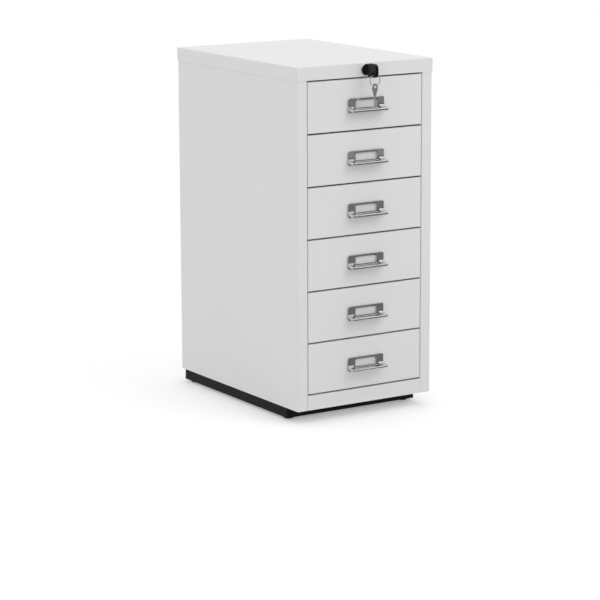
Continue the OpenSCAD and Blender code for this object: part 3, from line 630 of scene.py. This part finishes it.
def nickel_plate():
    # Nickel-plated steel: a warm grey metal, brushed by the stamping and the key machine.
    material, tree, shader, place = new_material("nickel_plated_steel")
    brushed = add(tree, "ShaderNodeMapping", {"Vector": place, "Scale": (1.0, 1.0, 0.08)})
    stroke = add(tree, "ShaderNodeTexNoise",
                 {"Vector": brushed.outputs["Vector"], "Scale": 1 / (0.3 * MM),
                  "Detail": 3.0})
    rough = add(tree, "ShaderNodeMapRange",
                {"Value": stroke.outputs["Fac"], "To Min": 0.16, "To Max": 0.36})
    bump = add(tree, "ShaderNodeBump",
               {"Height": stroke.outputs["Fac"], "Strength": 0.15, "Distance": 0.02 * MM})
    tree.links.new(rough.outputs["Result"], shader.inputs["Roughness"])
    tree.links.new(bump.outputs["Normal"], shader.inputs["Normal"])
    shader.inputs["Base Color"].default_value = linear("#e4e3e0")
    shader.inputs["Metallic"].default_value = 1.0
    return material


def key_head_points(low, high, hole, hole_r, corner=7.0, power=5.0):
    """A closed ring of superellipse cross-section between two loops: the ring's hole and
    the head's rounded outline, whose points face the same way from their centres."""
    count, round_count = 96, 32
    a = np.linspace(0, 2 * np.pi, count, endpoint=False)[:, None]
    centre = (low[1:] + high[1:]) / 2
    size = (high[1:] - low[1:]) / 2
    # Distance from the centre to a rounded rectangle, in direction a
    e = np.stack([np.cos(a), np.sin(a)], axis=-1)
    flat = np.min(size / (np.abs(e) + 1e-9), axis=-1)
    inner = size - corner
    k = np.abs(e) @ inner
    round_part = k + np.sqrt(np.maximum(k ** 2 - inner @ inner + corner ** 2, 0))
    touch = np.all(np.abs(e) * flat[..., None] <= inner + [corner, 0], axis=-1)
    touch |= np.all(np.abs(e) * flat[..., None] <= inner + [0, corner], axis=-1)
    reach = np.where(touch, flat, round_part)
    # The cross-section: t runs from the hole to the outline, thick from side to side
    phi = np.linspace(0, 2 * np.pi, round_count, endpoint=False)
    t = 0.5 - 0.5 * np.sign(np.cos(phi)) * np.abs(np.cos(phi)) ** (2 / power)
    thick = np.sign(np.sin(phi)) * np.abs(np.sin(phi)) ** (2 / power)
    y = (1 - t) * (hole[0] + hole_r * e[..., 0]) + t * (centre[0] + reach * e[..., 0])
    z = (1 - t) * (hole[1] + hole_r * e[..., 1]) + t * (centre[1] + reach * e[..., 1])
    x = np.broadcast_to((high[0] - low[0]) / 2 * thick, y.shape)
    return np.stack([x, y, z], axis=-1)


def ring_torus_faces(points):
    """Quads of a grid that closes on itself both ways."""
    rows, columns = points.shape[:2]
    i = np.arange(rows)[:, None]
    j = np.arange(columns)[None, :]
    i2, j2 = (i + 1) % rows, (j + 1) % columns
    quads = np.stack([i * columns + j, i * columns + j2,
                      i2 * columns + j2, i2 * columns + j], axis=-1)
    return quads.reshape(-1, 4).tolist()


head_low, head_high = (np.array(c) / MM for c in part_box("key_head"))
ring_hole = (head_low[1] + 7, lock_z - 6.3)
ring_hole_r = 2.8
head_shape = key_head_points(head_low, head_high, ring_hole, ring_hole_r)
grip = finish_piece("key_grip", head_shape, ring_torus_faces(head_shape), key_plastic(),
                    sharp=60)
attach(grip, "key")
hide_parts("key_head")

nickel = nickel_plate()
dress(nickel, "key_blade")

# The split ring: a flat wire wound twice, so its centre line is a helix of two turns,
# and each cross-section of the wire is an ellipse
ring_low, ring_high = (np.array(c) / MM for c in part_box("key_ring"))
wire_w = 1.2
wire_thick = 0.52
coil_rise = 0.3
coil_steps, wire_steps = 193, 12
ring_r = (ring_high[2] - ring_low[2]) / 2 - wire_w / 2
ring_turn = math.radians(-12)
ring_t = np.linspace(0, 4 * np.pi, coil_steps)[:, None]
wire_a = np.linspace(0, 2 * np.pi, wire_steps, endpoint=False)
wire_r = ring_r + wire_w / 2 * np.cos(wire_a)
wire_h = coil_rise * (ring_t / (2 * np.pi) - 1) + wire_thick / 2 * np.sin(wire_a)
ring_x = wire_r * np.sin(ring_t)
ring_shape = np.stack([ring_x * math.cos(ring_turn) - wire_h * math.sin(ring_turn),
                       ring_x * math.sin(ring_turn) + wire_h * math.cos(ring_turn),
                       -wire_r * np.cos(ring_t)], axis=-1)
ring_shape += [0, ring_hole[0], (ring_low[2] + ring_high[2]) / 2]
wire_last = (coil_steps - 1) * wire_steps
ring_quads = ring_faces(coil_steps, wire_steps)
ring_quads += [list(range(wire_steps)), list(range(wire_last, wire_last + wire_steps))]
ring = finish_piece("split_ring", ring_shape, ring_quads, nickel)
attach(ring, "key_ring")
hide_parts("key_ring")


def spare_key_points(length, bow, thick, slot_w, slot_h):
    """Rings down the key, each a flat section with softened edges, as wide as the key is
    at that height. The width follows the round bow, a straight taper and the blade,
    whose one edge is cut, and the points beside the slot in the bow bend round it. The
    slot's half width and half height are given, and its middle is at height 0."""
    bow_r = bow / 2
    top = 5.8
    neck = -17.0
    blade = 2.5
    tip = top - length
    # Heights of the rings: close together at the top, the slot and the tip
    slot_part = 1 - 2 * np.linspace(0, 1, 15)[1:-1]
    bow_end = math.acos(1 - (top - slot_h - 0.5) / bow_r)
    end = np.sin(np.linspace(0, np.pi / 2, 9))
    z = np.concatenate([
        top - bow_r * (1 - np.cos(np.linspace(0.06, bow_end, 10))),
        np.linspace(slot_h + 0.3, slot_h, 2), slot_h * slot_part,
        np.linspace(-slot_h, -slot_h - 0.3, 2), np.linspace(-3, neck, 16),
        np.linspace(neck - 0.4, tip + 2, 60), tip + 2 - 2 * end[1:]])
    z = np.unique(np.round(z, 4))[::-1]
    # Half widths: to the left edge, and to the right one with its cuts
    centre = top - bow_r
    circle = np.sqrt(np.maximum(bow_r ** 2 - (z - centre) ** 2, 0.02))
    taper = np.interp(-z, [5, -neck, -tip - 2, -tip], [bow_r - 0.3, blade, blade, 0.6])
    shoulder = np.where(z > centre, circle, np.maximum(circle, bow_r - 0.3))
    left = np.where(z > -5, shoulder, taper)
    cuts = 0.55 + 0.25 * np.sin((z - tip) * 1.9)
    cuts = cuts + 0.5 * np.abs(((z - tip - 4) / 4 + 0.5) % 1 - 0.5) * 2
    right = left - np.where((z < tip + 18) & (z > tip + 2.2), cuts * 0.9, 0)
    z = z[:, None]
    hole = slot_w - slot_h + np.sqrt(np.maximum(slot_h ** 2 - z ** 2, 0))
    # Across the face: from the left edge to the slot, over it, and on to the right edge
    n_side, n_band = 7, 8
    side, band = np.linspace(0, 1, n_side + 1), np.linspace(-1, 1, n_band + 1)
    left, right = left[:, None], right[:, None]
    x = np.concatenate([-left + (left - hole) * side[:-1], hole * band,
                        hole + (right - hole) * side[1:]], axis=1)
    narrow = (left < hole + 1.2) | (np.abs(z) > slot_h + 0.01)
    plain = -left + (left + right) * np.linspace(0, 1, x.shape[1])
    ease = np.clip((np.abs(z) - slot_h) / 3, 0, 1) * narrow
    x = x * (1 - ease) + plain * ease
    # Thickness: softened towards the edges, with a milled groove down the blade's front
    edge = np.minimum(x + left, right - x)
    y = thick / 2 - 0.35 * np.exp(-edge / 0.25)
    groove = 0.28 * np.exp(-((x + 0.5) / 0.55) ** 2) * (z < neck - 1)
    front = np.stack([x, -(y - groove), np.broadcast_to(z, x.shape)], axis=-1)
    back = np.stack([x, y, np.broadcast_to(z, x.shape)], axis=-1)[:, ::-1]
    points = np.concatenate([front, back], axis=1)
    i0, i1 = (int(np.argmin(np.abs(z[:, 0] - v))) for v in (slot_h, -slot_h))
    return points, (i0, i1, n_side, x.shape[1] + n_side, n_band)


spare_len, spare_bow, spare_thick = 42.6, 17.5, 1.5
slot_w, slot_h = 3.5, 2.5
spare_turn = math.radians(22)
# The slot's upper end hangs on the lowest point of the ring's wire
spare_z = (ring_low[2] + wire_w + 0.45) - slot_h
spare_shape, slot_hole = spare_key_points(spare_len, spare_bow, spare_thick, slot_w,
                                          slot_h)
sx, sy, sz = np.moveaxis(spare_shape, -1, 0)
spare_y = ring_hole[0] + sx * math.sin(spare_turn) + sy * math.cos(spare_turn)
spare_points = np.stack([sx * math.cos(spare_turn) - sy * math.sin(spare_turn), spare_y,
                         spare_z + sz], axis=-1)
spare = finish_piece("spare_key", spare_points, skin(*spare_shape.shape[:2], slot_hole),
                     nickel)
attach(spare, "spare_key")
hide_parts("spare_key")

# ---- Studio ----
# A pale floor that fades to white, soft lamps, a grey cloth in front of the cabinet that
# gives its chrome something to reflect, and the camera at the photograph's angle.


def floor_paint():
    # Matt white floor board. For the camera and in reflections it glows a little, and it
    # runs into pure white from 0.5 to 1.5 m out, so that only the soft shadow shows.
    material, tree, shader, place = new_material("matt_white_floor")
    ray = add(tree, "ShaderNodeLightPath")
    far = add(tree, "ShaderNodeVectorMath", {0: place}, operation="LENGTH")
    fade = add(tree, "ShaderNodeMapRange",
               {"Value": far.outputs["Value"], "From Min": 0.5, "From Max": 1.5},
               interpolation_type="SMOOTHSTEP")
    seen = add(tree, "ShaderNodeMath",
               {0: ray.outputs["Is Camera Ray"], 1: ray.outputs["Is Transmission Ray"]},
               operation="MAXIMUM")
    seen = add(tree, "ShaderNodeMath",
               {0: seen.outputs[0], 1: ray.outputs["Is Glossy Ray"]}, operation="MAXIMUM")
    amount = add(tree, "ShaderNodeMath", {0: fade.outputs["Result"], 1: seen.outputs[0]},
                 operation="MULTIPLY")
    lift = add(tree, "ShaderNodeMath", {0: seen.outputs[0], 1: 0.31},
               operation="MULTIPLY")
    tree.links.new(lift.outputs[0], shader.inputs["Emission Strength"])
    shader.inputs["Emission Color"].default_value = (1, 1, 1, 1)
    shader.inputs["Base Color"].default_value = linear("#e8e8e8")
    shader.inputs["Roughness"].default_value = 0.9
    shader.inputs["Specular IOR Level"].default_value = 0.1
    white = add(tree, "ShaderNodeEmission", {"Color": (1, 1, 1, 1), "Strength": 1.0})
    mixed = add(tree, "ShaderNodeMixShader",
                {0: amount.outputs[0], 1: shader.outputs["BSDF"],
                 2: white.outputs["Emission"]})
    tree.links.new(mixed.outputs["Shader"],
                   tree.nodes["Material Output"].inputs["Surface"])
    return material


floor_radius = 6
bpy.ops.mesh.primitive_circle_add(vertices=96, radius=floor_radius, fill_type="NGON",
                                  location=(0, 0, 0))
floor = bpy.context.object
floor.name = "floor"
floor.data.materials.append(floor_paint())


def grey_card():
    # Grey cloth in front of the cabinet, seen only in metal and gloss: dim on the floor,
    # lighter where it nears the wall, darkest up the wall. The chrome gets its dark and
    # light faces from it, as in the photograph.
    material, tree, _, place = new_material("grey_studio_cloth")
    parts = add(tree, "ShaderNodeSeparateXYZ", {"Vector": place})
    flat = add(tree, "ShaderNodeCombineXYZ",
               {"X": parts.outputs["X"], "Y": parts.outputs["Y"]})
    away = add(tree, "ShaderNodeVectorMath", {0: flat.outputs["Vector"]},
               operation="LENGTH")
    lit = add(tree, "ShaderNodeMapRange",
              {"Value": away.outputs["Value"], "From Min": 2.7, "From Max": 3.1,
               "To Min": 0.17, "To Max": 0.36})
    wall = add(tree, "ShaderNodeMapRange",
               {"Value": parts.outputs["Z"], "From Min": 0.02, "From Max": 0.3})
    wall_glow = 0.12
    glow = add(tree, "ShaderNodeMix",
               {0: wall.outputs["Result"], 2: lit.outputs["Result"], 3: wall_glow},
               data_type="FLOAT")
    light = add(tree, "ShaderNodeEmission",
                {"Color": (1, 1, 1, 1), "Strength": glow.outputs[0]})
    tree.links.new(light.outputs["Emission"],
                   tree.nodes["Material Output"].inputs["Surface"])
    return material


# The cloth's profile in metres from the cabinet's middle: along the floor and up a wall.
# Only the half circle in front of the cabinet is kept.
card_profile = [(0.27, 0.004), (1.4, 0.004), (2.6, 0.004), (3.2, 0.004), (3.4, 0.4),
                (3.4, 2.4)]
card_columns = 48
card_shape = turned(card_profile, turns=card_columns)
card_quads = [quad for quad in ring_faces(*card_shape.shape[:2])
              if quad[0] % card_columns >= card_columns // 2]
card_mesh = bpy.data.meshes.new("studio_cloth")
card_mesh.from_pydata(card_shape.reshape(-1, 3).tolist(), [], card_quads)
card_mesh.materials.append(grey_card())
card = bpy.data.objects.new("studio_cloth", card_mesh)
bpy.context.collection.objects.link(card)
card.visible_camera = False
card.visible_diffuse = False
card.visible_shadow = False

# The world: white for the camera and in reflections, and soft light for everything else,
# a little stronger from the horizon than from overhead
scene = bpy.context.scene
scene.view_settings.view_transform = "Standard"
world = bpy.data.worlds.new("studio")
scene.world = world
world.use_nodes = True
sky = world.node_tree
sky.nodes.clear()
horizon_light, overhead_light = 0.91, 0.81
sky_ray = add(sky, "ShaderNodeLightPath")
sky_seen = add(sky, "ShaderNodeMath",
               {0: sky_ray.outputs["Is Camera Ray"], 1: sky_ray.outputs["Is Glossy Ray"]},
               operation="MAXIMUM")
sky_seen = add(sky, "ShaderNodeMath",
               {0: sky_seen.outputs[0], 1: sky_ray.outputs["Is Transmission Ray"]},
               operation="MAXIMUM")
sky_place = add(sky, "ShaderNodeTexCoord")
sky_parts = add(sky, "ShaderNodeSeparateXYZ", {"Vector": sky_place.outputs["Generated"]})
sky_high = add(sky, "ShaderNodeMapRange",
               {"Value": sky_parts.outputs["Z"], "From Min": 0.0, "From Max": 1.0,
                "To Min": horizon_light, "To Max": overhead_light})
sky_soft = add(sky, "ShaderNodeBackground",
               {"Color": (1, 1, 1, 1), "Strength": sky_high.outputs["Result"]})
sky_white = add(sky, "ShaderNodeBackground", {"Color": (1, 1, 1, 1), "Strength": 1.0})
sky_mix = add(sky, "ShaderNodeMixShader",
              {0: sky_seen.outputs[0], 1: sky_soft.outputs[0], 2: sky_white.outputs[0]})
add(sky, "ShaderNodeOutputWorld", {"Surface": sky_mix.outputs[0]})


def lamp(name, place, target, size, power):
    """A square soft box at a place, turned to a target. Sizes in metres, power in watts."""
    light = bpy.data.lights.new(name, "AREA")
    light.size = size
    light.energy = power
    made = bpy.data.objects.new(name, light)
    made.location = place
    turned_to = (Vector(target) - Vector(place)).to_track_quat("-Z", "Y")
    made.rotation_euler = turned_to.to_euler()
    made.visible_glossy = False
    bpy.context.collection.objects.link(made)


lamp("key_softbox", place=(1.1, -2.2, 2.6), target=(0, 0, 0.3), size=1.6, power=14)
lamp("top_softbox", place=(-0.4, 0.6, 2.9), target=(0, 0, 0.5), size=1.8, power=3)

# The camera: its angles in degrees, its place in metres and its focal length in
# millimetres were fitted to the cabinet's edges in the photograph
azimuth, elevation, roll = (math.radians(v) for v in (-32.600, 11.737, -0.186))
camera_place = (-2.3381, -3.6291, 1.0715)
focal_length = 146.85
back = Vector((math.sin(azimuth) * math.cos(elevation),
               -math.cos(azimuth) * math.cos(elevation), math.sin(elevation)))
right = Vector((math.cos(azimuth), math.sin(azimuth), 0))
up = back.cross(right)
turn = Matrix.Rotation(roll, 3, back)
right, up = turn @ right, turn @ up
lens = bpy.data.cameras.new("camera")
lens.lens = focal_length
lens.sensor_width = 36
lens.clip_end = 50
camera = bpy.data.objects.new("camera", lens)
facing = Matrix((right, up, back)).transposed().to_4x4()
camera.matrix_world = Matrix.Translation(camera_place) @ facing
bpy.context.collection.objects.link(camera)
scene.camera = camera
